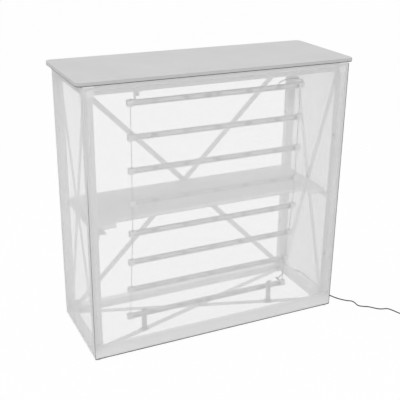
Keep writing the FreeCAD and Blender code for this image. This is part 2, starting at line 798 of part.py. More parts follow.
lens_places = [(step - (LENS_COUNT - 1) / 2) * number("lens_pitch") for step in range(LENS_COUNT)]
for index, z in enumerate(bar_heights, start=1):
    light_bar(index, z)
node("light_lenses", group("light_lenses", [lens(x, z) for z in bar_heights for x in lens_places]))
end_caps = [end_cap(side, z) for z in bar_heights for side in (LEFT, RIGHT)]
node("light_end_caps", group("light_end_caps", end_caps))


# Strings, leads and what is on them

def rounded_path(points, label, diameter, largest_radius=math.inf):
    # straight runs joined by arcs as large as the runs and the largest radius allow
    edges, radii, start = [], [], points[0]
    for before, corner, after in zip(points, points[1:], points[2:]):
        back, ahead = before - corner, after - corner
        turn = math.pi - back.getAngle(ahead)
        setback = min(ARC_SHARE * min(back.Length, ahead.Length), largest_radius * math.tan(turn / 2))
        entry = corner + back.normalize() * setback
        leave = corner + ahead.normalize() * setback
        towards = ((entry + leave) * 0.5 - corner).normalize()
        middle = corner + towards * (setback * math.tan(turn / 4))
        edges.append(Part.LineSegment(start, entry).toShape())
        edges.append(Part.Arc(entry, middle, leave).toShape())
        radii.append(setback / math.tan(turn / 2))
        start = leave
    edges.append(Part.LineSegment(start, points[-1]).toShape())
    rounded = [round(radius) for radius in radii]
    print(f"{label}: radii {rounded} mm, tightest {min(radii) / diameter:.1f} diameters")
    return Part.Wire(edges)


def tube(path, diameter, label):
    start = path.Edges[0]
    tangent = start.tangentAt(start.FirstParameter)
    ring = Part.Wire(Part.makeCircle(diameter / 2, start.valueAt(start.FirstParameter), tangent))
    solid = path.makePipeShell([ring], True, False)
    share = solid.Volume / (path.Length * math.pi * diameter ** 2 / 4)
    print(f"{label}: length {path.Length:.1f} mm, volume {share:.4f} of section times length")
    return solid


def feature(name, shape):
    piece = doc.addObject("Part::Feature", name)
    piece.Shape = shape
    return piece


def suspension_string(side):
    # runs from a bead on the top cap to a bead under the bottom cap, with one under each cap between
    cap_half, bead = number(f"bar_height/2 + {CAP_GROWTH}"), number("bead_length")
    top_z, low_z = top_bar_z + cap_half + bead, bottom_bar_z - cap_half - bead
    stops = [Vector(side * string_x, curtain_y(z), z) for z in (top_z, shelf_middle_z, low_z)]
    diameter = number("string_diameter")
    path = rounded_path(stops, "string", diameter, number("string_bend_radius"))
    line = tube(path, diameter, "string")
    beads = []
    for step, z in enumerate(bar_heights):
        foot = z + cap_half if step == 0 else z - cap_half - bead
        place = Vector(side * string_x, curtain_y(foot + bead / 2), foot)
        beads.append(Part.makeCylinder(number("bead_diameter/2"), bead, place))
    return feature("suspension_string", line.fuse(beads).removeSplitter())


node("suspension_strings", group("suspension_strings", [suspension_string(side) for side in (LEFT, RIGHT)]))


def hanger(side):
    # a bent strap, screwed to the underside of the front top rail, that reaches down to the top bar
    middle = hanger_middle(side)
    across = about(middle, "hanger_width")
    stem_across = about(f"{middle} + ({side})*(hanger_width - hanger_stem_width)/2", "hanger_stem_width")
    y = text(curtain_top_y)
    bar_top = f"({FRAME_TOP} - top_bar_drop + bar_height/2)"
    drop = about(y, "strap_thickness")
    seat_start = "(-frame_depth/2 + groove_offset)"
    seat_level = f"({RAIL_UNDERSIDE} - strap_thickness)"
    seat = box("hanger_seat", across, (seat_start, f"{y} + strap_thickness/2 - {seat_start}"),
               (seat_level, "strap_thickness"))
    plate = box("hanger_plate", across, drop, (f"{RAIL_UNDERSIDE} - hanger_drop", "hanger_drop"))
    stem = box("hanger_stem", stem_across, drop, (bar_top, f"{RAIL_UNDERSIDE} - {bar_top}"))
    foot = box("hanger_foot", stem_across, about(y, "bar_depth"), (bar_top, "strap_thickness"))
    place = (middle, HANGER_SCREW_Y)
    bore = rod("hanger_bore", "z", "hanger_screw_diameter/2 + hanger_screw_clearance", "strap_thickness",
               (*place, seat_level))
    head = rod("hanger_screw_head", "z", "hanger_screw_head/2", "hanger_screw_head_height",
               (*place, f"{seat_level} - hanger_screw_head_height"))
    shank = rod("hanger_screw_shank", "z", "hanger_screw_diameter/2", "hanger_screw_length",
                (*place, seat_level))
    strap = fuse("hanger_strap", [seat, plate, stem, foot])
    return [cut("hanger", strap, [bore]), fuse("hanger_screw", [head, shank])]


def foot_clip(side):
    # a strap behind the bottom bar that stands on a saddle over one arm of the bottom cross
    back = text(curtain_bottom_y + number("bar_depth/2"))
    strap_y = curtain_bottom_y + number("bar_depth/2 + strap_thickness/2")
    run, rise = number(pin_span("x")), number(pin_span("y"))
    place_x = side * abs(strap_y) * run / rise
    angle = math.degrees(math.atan2(rise, run)) * -side
    arm_start, arm_size = brace_layer("z", BOTTOM, side == LEFT)
    arm_top = number(f"{arm_start} + {arm_size}")
    strap = box("clip_strap", about(text(place_x), "clip_strap_width"), (back, "strap_thickness"),
                (text(arm_top), f"bottom_bar_height + bar_height/2 + clip_strap_rise - {text(arm_top)}"))
    turn = Placement(Vector(place_x, strap_y, arm_top), Rotation(Z, angle))
    width = number("brace_width + 2*strap_thickness")
    flange_start = -number("clip_flange")
    solids = [strap]
    for name, y, z, size_y, size_z in (
            ("saddle", -width / 2, 0, "brace_width + 2*strap_thickness", "strap_thickness"),
            ("saddle_front", -width / 2, flange_start, "strap_thickness", "clip_flange + strap_thickness"),
            ("saddle_back", number("brace_width/2"), flange_start, "strap_thickness",
             "clip_flange + strap_thickness")):
        plate = doc.addObject("Part::Box", name)
        plate.setExpression("Length", bind("clip_length"))
        plate.setExpression("Width", bind(size_y))
        plate.setExpression("Height", bind(size_z))
        plate.Placement = turn.multiply(Placement(Vector(-number("clip_length/2"), y, z), Rotation()))
        solids.append(plate)
    return fuse("foot_clip", solids)


node("curtain_hangers", group("curtain_hangers", hanger(LEFT) + hanger(RIGHT)))
node("curtain_foot_clips", group("curtain_foot_clips", [foot_clip(side) for side in (LEFT, RIGHT)]))

# The jumper lead arches over the right end of the top bar, in front of the hanger, and comes down on the cap:
# places along X, and heights above the bar
JUMPER_ROUTE = [(233, 0), (233, 6.5), (239, 12), (255, 16.5), (279, 18.5), (302, 17.5), (318, 15.8),
                (330, 13.2), (335.5, 8.1)]
bar_top_z = top_bar_z + number("bar_height/2")
jumper_y = curtain_top_y - number("strap_thickness/2 + jumper_gap + jumper_diameter/2")
jumper_points = [Vector(x, jumper_y, bar_top_z + height) for x, height in JUMPER_ROUTE]
jumper_points.append(Vector(jumper_points[-1].x, jumper_y, bar_top_z + number(CAP_GROWTH)))
jumper_diameter = number("jumper_diameter")
jumper_path = rounded_path(jumper_points, "jumper lead", jumper_diameter)
node("jumper_lead", feature("jumper_lead", tube(jumper_path, jumper_diameter, "jumper lead")))


def jumper_grommet(end):
    place = (text(end.x), text(end.y), text(end.z))
    collar = rod("grommet_collar", "z", ("grommet_diameter/2", "grommet_diameter/2 - grommet_taper"),
                 "grommet_height", place, "Part::Cone")
    bore = rod("grommet_bore", "z", "jumper_diameter/2 + grommet_clearance", "grommet_height", place)
    return cut("grommet", collar, [bore])


node("jumper_grommets", group("jumper_grommets", [jumper_grommet(jumper_points[end]) for end in (0, -1)]))

CAP_BACK = f"({text(curtain_bottom_y)} + bar_depth/2 + {CAP_GROWTH})"
RELIEF_X = "(bar_length/2 - relief_inset)"
RELIEF_TIP = "(lead_diameter/2 + relief_tip_wall)"
node("lead_strain_relief", rod("lead_strain_relief", "y", ("relief_diameter/2", RELIEF_TIP),
                               "relief_length", (RELIEF_X, CAP_BACK, "bottom_bar_height"), "Part::Cone"))

# Power lead: out of the back of the bottom bar's right cap, down to the floor, under the right bottom rail
# and round to the front
lead_diameter = number("lead_diameter")
floor_z = lead_diameter / 2
COIL_CENTRE = Vector(766, -402, 0)
COIL_START = math.pi
COIL_QUARTERS = 30
EXIT_RUN = 14
MOUTH_RUN = 14.5

tie_thickness, tie_clearance = number("tie_thickness"), number("tie_clearance")
coil_radius, coil_pitch = number("coil_radius"), number("coil_pitch")
coil_low_z = tie_thickness + tie_clearance + floor_z
coil_start_direction = Vector(-math.sin(COIL_START), math.cos(COIL_START), 0)
coil_spoke = Vector(math.cos(COIL_START), math.sin(COIL_START), 0)
coil_start = COIL_CENTRE + coil_spoke * coil_radius + Z * coil_low_z
coil_mouth = coil_start - coil_start_direction * lead_diameter

exit_point = Vector(number(RELIEF_X), number(f"{CAP_BACK} + relief_length"), bottom_bar_z)
HANGING_ROUTE = [(337, -32, 89.5), (355, -3, 68.5), (381, 30, 44.5), (411, 68, 21.5), (441, 102, 7.5)]
FLOOR_ROUTE = [(471, 128), (496, 140), (524, 143), (544, 130), (552, 105), (552, 64), (551, 20), (546, -28),
               (542, -77), (548, -122), (567, -165), (590, -192), (609, -203), (611, -224), (607, -245),
               (623, -259), (645, -271), (662, -295), (681, -309), (705, -312), (716, -336), (724, -361)]
lead_points = [exit_point, exit_point + Y * EXIT_RUN]
lead_points += [Vector(*point) for point in HANGING_ROUTE]
lead_points += [Vector(x, y, floor_z) for x, y in FLOOR_ROUTE]
lead_points += [coil_mouth - coil_start_direction * MOUTH_RUN, coil_mouth]
lead_path = rounded_path(lead_points, "power lead", lead_diameter)
node("power_lead", feature("power_lead", tube(lead_path, lead_diameter, "power lead")))


# Coil of the spare lead: it spirals in, climbs a layer where it turns back, and spirals out on top

coil_turns = COIL_QUARTERS / 4


def coil_state(turns):
    # place and direction on the spiral after a number of turns
    half = coil_turns / 2
    inward = turns <= half
    radius = coil_radius - coil_pitch * (turns if inward else coil_turns - turns)
    angle = COIL_START + 2 * math.pi * turns
    climb = min(max((turns - (half - 0.25)) / 0.5, 0), 1)
    height = coil_low_z + coil_pitch * climb * climb * (3 - 2 * climb)
    rise = coil_pitch * 6 * climb * (1 - climb) / 0.5
    spoke = Vector(math.cos(angle), math.sin(angle), 0)
    place = COIL_CENTRE + spoke * radius + Z * height
    growth = -coil_pitch if inward else coil_pitch
    if abs(turns - half) < 1e-6:
        growth = 0
    direction = Z.cross(spoke) * (2 * math.pi * radius) + spoke * growth + Z * rise
    return place, direction.normalize()


def biarc(start, start_way, end, end_way):
    # two arcs that leave start and reach end along the given directions
    chord, ways = end - start, start_way + end_way
    spare = 4 - ways.dot(ways)
    slope = chord.dot(ways)
    reach = (math.sqrt(slope ** 2 + spare * chord.dot(chord)) - slope) / spare
    first, last = start + start_way * reach, end - end_way * reach
    joint = (first + last) * 0.5
    edges = []
    for near, knee, far in ((start, first, joint), (joint, last, end)):
        towards = (near + far) * 0.5 - knee
        lean = math.asin(min(1, towards.Length / reach))
        middle = knee + towards.normalize() * (reach * math.tan(lean / 2))
        edges.append(Part.Arc(near, middle, far).toShape())
    return edges


def coil_path():
    states = [coil_state(step / 4) for step in range(COIL_QUARTERS + 1)]
    states[0] = (states[0][0], coil_start_direction)
    states[-1] = (states[-1][0], -coil_start_direction)
    edges = [Part.LineSegment(coil_mouth, coil_start).toShape()]
    for (start, start_way), (end, end_way) in zip(states, states[1:]):
        edges += biarc(start, start_way, end, end_way)
    place, way = states[-1]
    tail_end = place + way * number("coil_tail")
    edges.append(Part.LineSegment(place, tail_end).toShape())
    return Part.Wire(edges), tail_end


def least_gap(path, diameter):
    # the narrowest space between stretches of the tube that are a third of a turn or more apart
    step = diameter / 3
    points = path.discretize(Distance=step)
    apart = int(coil_radius * 2 / step)
    nearest = min((a - b).Length for i, a in enumerate(points) for b in points[i + apart:])
    return nearest - diameter


coil_wire, coil_end = coil_path()
node("power_lead_coil", feature("power_lead_coil", tube(coil_wire, lead_diameter, "coil")))
print(f"coil: least gap to itself {least_gap(coil_wire, lead_diameter):.2f} mm")
print(f"power lead in all: {lead_path.Length + coil_wire.Length:.0f} mm")


def coil_tie():
    # a strap round both layers of the coil, a quarter turn after its start
    inner = coil_radius - coil_pitch * (coil_turns / 2 - 0.5) - floor_z - number("tie_side_clearance")
    outer = coil_radius - coil_pitch / 4 + floor_z + number("tie_side_clearance")
    height = coil_low_z + coil_pitch + floor_z + tie_clearance
    width = number("tie_width")
    hole = Part.makeBox(outer - inner, 2 * width, height - tie_thickness,
                        Vector(inner, -width, tie_thickness))
    strap = Part.makeBox(outer - inner + 2 * tie_thickness, width, height + tie_thickness,
                         Vector(inner - tie_thickness, -width / 2, 0))
    band = feature("coil_tie", strap.cut(hole))
    band.Placement = Placement(COIL_CENTRE, Rotation(Z, math.degrees(COIL_START + math.pi / 2)))
    return node("coil_tie", band)


coil_tie()


# Mains adapter at the end of the lead: it lies on the floor with its pins up

ADAPTER_START = f"({text(coil_end.y)} + adapter_relief_length)"


def adapter():
    casing = box("adapter_casing", about(text(coil_end.x), "adapter_width"),
                 (ADAPTER_START, "adapter_length"), ("0", "adapter_height"))
    radius = number("adapter_edge_radius")
    smooth = doc.addObject("Part::Fillet", "adapter_rounded")
    smooth.Base = casing
    smooth.Edges = [(index, radius, radius) for index in range(1, 13)]
    sleeve = rod("adapter_sleeve", "y", (RELIEF_TIP, "relief_diameter/2"), "adapter_relief_length",
                 (text(coil_end.x), text(coil_end.y), text(coil_end.z)), "Part::Cone")
    return node("power_adapter", fuse("power_adapter", [smooth, sleeve]))


def adapter_pins():
    pins = []
    for side in (FRONT, BACK):
        y = f"{ADAPTER_START} + adapter_length/2 + ({side})*adapter_pin_spacing/2"
        pins.append(rod("adapter_pin", "z", "adapter_pin_diameter/2", "adapter_pin_length",
                        (text(coil_end.x), y, "adapter_height")))
    return node("adapter_pins", group("adapter_pins", pins))


adapter()
adapter_pins()


# Checks and files

doc.removeObject(working.Name)
doc.recompute()
for item in doc.Objects:
    if {"Invalid", "Error"} & set(item.State):
        raise RuntimeError(f"{item.Label} failed: {item.State}")
os.makedirs("parts", exist_ok=True)
for piece in subparts:
    if piece.Shape.isNull() or not piece.Shape.isValid() or not piece.Shape.Solids:
        raise RuntimeError(f"{piece.Label} has no valid shape")
for piece in subparts:
    piece.Shape.exportStep(f"parts/{piece.Label}.step")
print(f"{len(subparts)} sub-parts")
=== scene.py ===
import bmesh
import bpy
import math
from mathutils import Matrix, Vector


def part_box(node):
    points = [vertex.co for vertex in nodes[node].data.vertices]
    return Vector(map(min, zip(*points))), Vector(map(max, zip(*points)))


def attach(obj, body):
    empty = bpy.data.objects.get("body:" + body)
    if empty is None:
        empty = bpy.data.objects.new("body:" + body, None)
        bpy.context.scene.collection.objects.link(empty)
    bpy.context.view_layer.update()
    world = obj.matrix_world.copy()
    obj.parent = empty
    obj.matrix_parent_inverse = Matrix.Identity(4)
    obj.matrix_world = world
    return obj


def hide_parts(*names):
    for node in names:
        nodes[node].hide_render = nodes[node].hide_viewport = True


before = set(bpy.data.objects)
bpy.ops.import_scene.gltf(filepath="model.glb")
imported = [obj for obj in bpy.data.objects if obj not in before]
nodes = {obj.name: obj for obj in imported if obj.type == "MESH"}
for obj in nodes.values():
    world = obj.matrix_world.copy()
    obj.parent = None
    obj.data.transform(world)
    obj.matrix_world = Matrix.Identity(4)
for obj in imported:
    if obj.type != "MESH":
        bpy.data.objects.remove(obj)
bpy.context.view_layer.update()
scene = bpy.context.scene
scene.view_settings.view_transform = "Standard"
print("counter frame loaded:", len(nodes), "nodes")

# Camera: in front of the counter, to its left, looking down on the top
counterCamera = {
    "place": (-1.1643, -2.4584, 1.5824),
    "lens": 68.739,
    "downward": 22.066,  # degrees
    "turnedRight": 25.304,
    "roll": 0.651,
}


def placeCamera(spec):
    view = bpy.data.cameras.new("counterCamera")
    view.lens = spec["lens"]
    view.sensor_width = 36
    camera = bpy.data.objects.new("counterCamera", view)
    scene.collection.objects.link(camera)
    heading = Matrix.Rotation(math.radians(-spec["turnedRight"]), 4, "Z")
    tilt = Matrix.Rotation(math.radians(90 - spec["downward"]), 4, "X")
    roll = Matrix.Rotation(math.radians(spec["roll"]), 4, "Z")
    camera.matrix_world = Matrix.Translation(spec["place"]) @ heading @ tilt @ roll
    scene.camera = camera


placeCamera(counterCamera)


# Shader nodes, written as sums

class Wire:  # a socket that can be reckoned with
    def __init__(self, bench, socket):
        self.bench = bench
        self.socket = socket

    def reckon(self, operation, *values):
        return self.bench.node("ShaderNodeMath", {"operation": operation}, dict(enumerate(values)))

    def __add__(self, other):
        return self.reckon("ADD", self, other)

    def __sub__(self, other):
        return self.reckon("SUBTRACT", self, other)

    def __rsub__(self, other):
        return self.reckon("SUBTRACT", other, self)

    def __mul__(self, other):
        return self.reckon("MULTIPLY", self, other)

    def __abs__(self):
        return self.reckon("ABSOLUTE", self)

    def least(self, other):
        return self.reckon("MINIMUM", self, other)

    def most(self, other):
        return self.reckon("MAXIMUM", self, other)

    __radd__ = __add__
    __rmul__ = __mul__


class Bench:  # a node tree, with one way to add a node
    def __init__(self, tree):
        self.tree = tree

    def fill(self, node, sockets):
        for key, value in sockets.items():
            if isinstance(value, Wire):
                self.tree.links.new(value.socket, node.inputs[key])
            else:
                node.inputs[key].default_value = value

    def node(self, kind, settings=None, sockets=None, output=0):
        made = self.tree.nodes.new(kind)
        for name, value in (settings or {}).items():
            setattr(made, name, value)
        self.fill(made, sockets or {})
        return Wire(self, made.outputs[output])

    def axes(self):  # the place on the piece, in metres
        place = self.node("ShaderNodeTexCoord", output="Object")
        split = self.node("ShaderNodeSeparateXYZ", None, {0: place}).socket.node
        return [Wire(self, output) for output in split.outputs]

    def noise(self, scale, detail=2.0, stretch=(1, 1, 1)):
        place = self.node("ShaderNodeTexCoord", output="Object")
        drawn = self.node("ShaderNodeMapping", None, {"Vector": place, "Scale": stretch})
        return self.node("ShaderNodeTexNoise", None, {"Vector": drawn, "Scale": scale, "Detail": detail})

    def fade(self, value, start, end):  # 0 before start, 1 after end
        limits = {"Value": value, "From Min": start, "From Max": end}
        return self.node("ShaderNodeMapRange", {"interpolation_type": "SMOOTHSTEP"}, limits)

    def line(self, value, middle, width):  # 1 on a line, 0 beside it
        return 1 - self.fade(abs(value - middle), 0.35 * width, 0.65 * width)

    def ripple(self, value, pitch):
        turn = value * (2 * math.pi / pitch)
        return 0.5 + 0.5 * turn.reckon("SINE", turn)

    def tint(self, share, first, second):
        return self.node("ShaderNodeMix", {"data_type": "RGBA"}, {0: share, 6: first, 7: second}, 2)

    def bump(self, height, depth, strength=1.0):
        sockets = {"Height": height, "Distance": depth, "Strength": strength}
        return self.node("ShaderNodeBump", None, sockets)


class Finish(Bench):  # a material and its shader
    def __init__(self, name, fixed):
        self.material = bpy.data.materials.new(name)
        self.material.use_nodes = True
        super().__init__(self.material.node_tree)
        self.shader = self.tree.nodes["Principled BSDF"]
        self.give(fixed)

    def give(self, sockets):
        self.fill(self.shader, sockets)


def grey(level):
    return (level, level, level, 1)


def dress(finish, *names):
    for name in names:
        for place in nodes[name].material_slots:
            place.material = finish.material


def addPiece(bm, name, finish, smooth=False):
    mesh = bpy.data.meshes.new(name)
    for face in bm.faces:
        face.smooth = smooth
    bm.to_mesh(mesh)
    bm.free()
    mesh.materials.append(finish.material)
    piece = bpy.data.objects.new(name, mesh)
    scene.collection.objects.link(piece)
    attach(piece, "frame")
    return piece


# Finishes that more than one piece has
drawnLength = 160  # how much longer than wide a drawn line is


def mouldedPlastic(name, look):
    finish = Finish(name, {"Specular IOR Level": look.get("specular", 0.45)})
    cloud = finish.noise(35, 2)
    grain = finish.noise(look["grain"], 1)
    share = finish.fade(cloud * 0.7 + grain * 0.3, 0.3, 0.7)
    finish.give({
        "Base Color": finish.tint(share, grey(look["dark"]), grey(look["pale"])),
        "Roughness": look["roughness"] + 0.12 * (grain - 0.5),
        "Normal": finish.bump(grain, look["depth"], 0.5),
    })
    return finish


def satinMetal(name, look, along=None):
    # drawn lines run along the piece; without an axis the finish is even
    # head is a painted shade taken on toward the top, and headSpan the heights between which the piece
    # takes it on
    stretch = [look["lines"]] * 3
    if along:
        stretch["xyz".index(along)] = look["lines"] / drawnLength
    finish = Finish(name, {"Metallic": look["metallic"]})
    drawn = finish.noise(1, 2, stretch)
    cloud = finish.noise(9, 2)
    share = finish.fade(drawn * 0.6 + cloud * 0.4, 0.35, 0.65)
    colour = finish.tint(share, grey(look["dark"]), grey(look["pale"]))
    # painted shade toward the top of the piece
    if "head" in look:
        x, y, z = finish.axes()
        colour = finish.tint(finish.fade(z, *look["headSpan"]), colour, grey(look["head"]))
    finish.give({
        "Base Color": colour,
        "Roughness": look["roughness"] + 0.16 * (drawn - 0.5),
        "Normal": finish.bump(drawn, 0.00004, 0.35),
    })
    return finish


def flexSheath(name, look):
    finish = Finish(name, {"Specular IOR Level": 0.4})
    scuff = finish.noise(140, 3)
    pores = finish.noise(2600, 1)
    finish.give({
        "Base Color": finish.tint(finish.fade(scuff, 0.35, 0.75),
                                  grey(look["dark"]), grey(look["pale"])),
        "Roughness": look["roughness"] + 0.2 * (scuff - 0.5),
        "Normal": finish.bump(pores, 0.00005, 0.4),
    })
    return finish


# Cords: each is one smooth line along the points of its route

def runCord(name, route, diameter, finish, finer=4):
    line = bpy.data.curves.new(name, "CURVE")
    line.dimensions = "3D"
    spline = line.splines.new("NURBS")
    spline.points.add(len(route) - 1)
    for knot, place in zip(spline.points, route):
        knot.co = (*place, 1)
    spline.order_u = 3
    spline.use_endpoint_u = True
    spline.resolution_u = finer
    line.bevel_depth = diameter / 2
    line.bevel_resolution = 3
    line.use_fill_caps = True
    line.materials.append(finish.material)
    cord = bpy.data.objects.new(name, line)
    scene.collection.objects.link(cord)
    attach(cord, "frame")
    return cord


powerLead = {
    "diameter": 0.0045,
    "length": 2.165,
    "exit": (0.3285, -0.0644, 0.097),
    "hanging": [(0.3285, -0.0504, 0.097), (0.337, -0.032, 0.0895), (0.355, -0.003, 0.0685),
                (0.381, 0.030, 0.0445), (0.411, 0.068, 0.0215), (0.441, 0.102, 0.0075)],
    "onFloor": [(0.471, 0.128), (0.496, 0.140), (0.524, 0.143), (0.544, 0.130), (0.552, 0.105),
                (0.552, 0.064), (0.551, 0.020), (0.546, -0.028), (0.542, -0.077), (0.548, -0.122),
                (0.567, -0.165), (0.590, -0.192), (0.609, -0.203), (0.611, -0.224), (0.607, -0.245),
                (0.623, -0.259), (0.645, -0.271), (0.662, -0.295), (0.681, -0.309), (0.705, -0.312),
                (0.716, -0.336), (0.724, -0.361)],
    "coilCentre": (0.766, -0.402),
    "coilRadius": 0.035,
    "coilPitch": 0.0052,
    "coilTurns": 7.5,
    "coilLow": 0.00365,
    "coilEntry": 0.019,  # where the lead comes to the coil, behind its centre
    "coilTail": 0.020,
    "climbTurns": 0.5,  # share of a turn in which it climbs to the upper layer
    "pointsInTurn": 20,
    "dark": 0.016,
    "pale": 0.034,
    "roughness": 0.5,
}


def leadRoute(spec):
    # out of the bottom bar, over the floor, then the spare length in two layers of turns
    floor = spec["diameter"] / 2
    centre, radius, pitch = Vector(spec["coilCentre"]), spec["coilRadius"], spec["coilPitch"]
    half = spec["coilTurns"] / 2
    route = [spec["exit"], *spec["hanging"], *[(x, y, floor) for x, y in spec["onFloor"]]]
    route.append((centre.x - radius, centre.y + spec["coilEntry"], spec["coilLow"]))
    for step in range(int(spec["coilTurns"] * spec["pointsInTurn"]) + 1):
        turns = step / spec["pointsInTurn"]
        angle = math.pi * (1 + 2 * turns)
        reach = radius - pitch * min(turns, 2 * half - turns)
        climb = min(max((turns - half) / spec["climbTurns"] + 0.5, 0), 1)
        height = spec["coilLow"] + pitch * climb * climb * (3 - 2 * climb)
        across, back = reach * math.cos(angle), reach * math.sin(angle)
        route.append((centre.x + across, centre.y + back, height))
    route.append((centre.x + radius, centre.y + spec["coilTail"], spec["coilLow"] + pitch))
    return route


leadSheath = flexSheath("leadSheath", powerLead)
lead = runCord("powerLead", leadRoute(powerLead), powerLead["diameter"], leadSheath)
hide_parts("power_lead", "power_lead_coil")

jumperLead = {
    "diameter": 0.003,
    "length": 0.1197,
    "front": -0.1482,
    "rise": 0.940,
    "arch": [(0.233, 0), (0.233, 0.0045), (0.2375, 0.0095), (0.247, 0.0142), (0.262, 0.0180),
             (0.281, 0.0195), (0.300, 0.0185), (0.316, 0.0160), (0.329, 0.0123), (0.3355, 0.0070),
             (0.3355, 0.0016)],
}
archRoute = [(x, jumperLead["front"], jumperLead["rise"] + z) for x, z in jumperLead["arch"]]
jumper = runCord("jumperLead", archRoute, jumperLead["diameter"], leadSheath, 8)
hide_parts("jumper_lead")

barNames = [f"light_bar_{number}" for number in range(1, 9)]
barBoxes = [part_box(name) for name in barNames]
barMiddles = [(low + high) / 2 for low, high in barBoxes]
barSize = barBoxes[0][1] - barBoxes[0][0]

curtainString = {
    "diameter": 0.002,
    "length": 0.8683,
    "inset": 0.010,
    "cap": 0.0016,  # how far a bar's end cap stands out above and below it
    "bead": 0.005,
    "beadRadius": 0.003,
    "atShelf": (-0.142, 0.5045),  # where it bends, in front of the shelf
    "plait": 0.0016,
    "dark": 0.10,
    "pale": 0.20,
}


def braidedString(look):
    finish = Finish("braidedString", {"Roughness": 0.8, "Specular IOR Level": 0.2})
    x, y, z = finish.axes()
    rising = finish.ripple(z + 0.6 * y, look["plait"])
    falling = finish.ripple(z - 0.6 * y, look["plait"])
    strand = rising.least(falling)
    finish.give({
        "Base Color": finish.tint(strand, grey(look["dark"]), grey(look["pale"])),
        "Normal": finish.bump(strand, 0.0002, 0.6),
    })
    return finish


def stringBeads(side, spec, finish):
    # one bead on the top bar's cap, and one under each cap below it
    bm = bmesh.new()
    radius = spec["beadRadius"]
    lift = barSize.z / 2 + spec["cap"] + spec["bead"] / 2
    for number, middle in enumerate(barMiddles):
        place = Vector((side, middle.y, middle.z + (lift if number == 0 else -lift)))
        bead = bmesh.ops.create_uvsphere(bm, u_segments=14, v_segments=8, radius=radius)["verts"]
        bmesh.ops.scale(bm, vec=(1, 1, spec["bead"] / 2 / radius), verts=bead)
        bmesh.ops.translate(bm, vec=place, verts=bead)
    name = "stringBeadsLeft" if side < 0 else "stringBeadsRight"
    return addPiece(bm, name, finish, smooth=True)


def hangString(side, spec, finish, beadFinish):
    bend = Vector((side, *spec["atShelf"]))
    stops = [Vector((side, middle.y, middle.z)) for middle in barMiddles]
    reach = barSize.z / 2 + spec["cap"] + spec["bead"]
    top = stops[0] + (stops[0] - stops[1]) * (reach / (stops[0].z - stops[1].z))
    foot = stops[-1] + (stops[-1] - stops[-2]) * (reach / (stops[-2].z - stops[-1].z))
    route = [top, *stops[:4], bend, *stops[4:], foot]
    name = "curtainStringLeft" if side < 0 else "curtainStringRight"
    string = runCord(name, route, spec["diameter"], finish, 3)
    beads = stringBeads(side, spec, beadFinish)
    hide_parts("suspension_strings")


stringFinish = braidedString(curtainString)
beadLook = {"dark": 0.34, "pale": 0.42, "grain": 2000, "roughness": 0.5, "depth": 0.00004}
beadFinish = mouldedPlastic("stringBead", beadLook)
stringReach = barSize.x / 2 - curtainString["inset"]
for side in (-stringReach, stringReach):
    hangString(side, curtainString, stringFinish, beadFinish)
print("cords laid")

# Strap round the spare lead: a soft loop, with its free end on top
leadStrap = {
    "thickness": 0.0009,
    "round": 0.004,
    "tail": 0.016,
    "tailPlace": 0.7,  # its middle, in tail lengths from the front
    "tailLift": 0.0006,
    "rib": 0.0011,
    "dark": 0.02,
    "pale": 0.045,
}


def wovenStrap(look):
    finish = Finish("wovenStrap", {"Roughness": 0.85, "Sheen Weight": 0.2})
    x, y, z = finish.axes()
    rib = finish.ripple(x, look["rib"])
    share = rib * 0.7 + finish.noise(900) * 0.3
    finish.give({
        "Base Color": finish.tint(share, grey(look["dark"]), grey(look["pale"])),
        "Normal": finish.bump(rib, 0.0001, 0.5),
    })
    return finish


def tieLead(spec):
    low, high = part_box("coil_tie")
    size, middle = high - low, (low + high) / 2
    bm = bmesh.new()
    bmesh.ops.create_cube(bm, size=1, matrix=Matrix.Translation(middle) @ Matrix.Diagonal((*size, 1)))
    ends = [face for face in bm.faces if abs(face.normal.x) > 0.9]
    bmesh.ops.delete(bm, geom=ends, context="FACES_ONLY")
    long = [edge for edge in bm.edges if abs((edge.verts[0].co - edge.verts[1].co).x) > size.x / 2]
    bmesh.ops.bevel(bm, geom=long, offset=spec["round"], affect="EDGES", segments=5, profile=0.5,
                    material=-1)
    tail = bmesh.ops.create_grid(bm, x_segments=1, y_segments=6, size=0.5)["verts"]
    bmesh.ops.scale(bm, vec=(size.x, spec["tail"], 1), verts=tail)
    place = (middle.x, low.y + spec["tail"] * spec["tailPlace"], high.z + spec["tailLift"])
    bmesh.ops.translate(bm, vec=place, verts=tail)
    strap = addPiece(bm, "leadStrap", wovenStrap(spec), smooth=True)
    thick = strap.modifiers.new("thickness", "SOLIDIFY")
    thick.thickness = spec["thickness"]
    thick.offset = -1
    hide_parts("coil_tie")
    return strap


strap = tieLead(leadStrap)

# Sheer fabric: three stretched panels, each with a turned hem and a row of stitches
sheerFabric = {
    # alpha of each face, so that half of the light goes through both faces of the front; the left side is
    # seen at a slant, through more of the cloth
    "alpha": {"front": 0.293, "left": 0.45, "right": 0.293},
    "yarn": 0.0011,
    "yarnContrast": 0.10,
    "yarnRise": 0.00012,
    "slackRise": 0.004,
    "hem": 0.010,
    "footHem": {"front": 0.0575, "left": 0.010, "right": 0.010},
    "hemFade": 0.001,
    "hemAlpha": 0.68,
    "hemShade": 0.79,
    "footShade": 0.94,  # at the floor, painted paler as painted light against the shade near the floor, and hemShade from footShadeTo upwards
    "footShadeTo": 0.06,
    "stitchFromEdge": 0.007,
    "stitch": 0.0042,
    "stitchWidth": 0.0009,
    "stitchRise": 0.0003,
    "thread": 0.76,
    "threadAlpha": 0.6,
    "dark": 0.80,
    "pale": 0.87,
    "thickness": 0.0006,
}


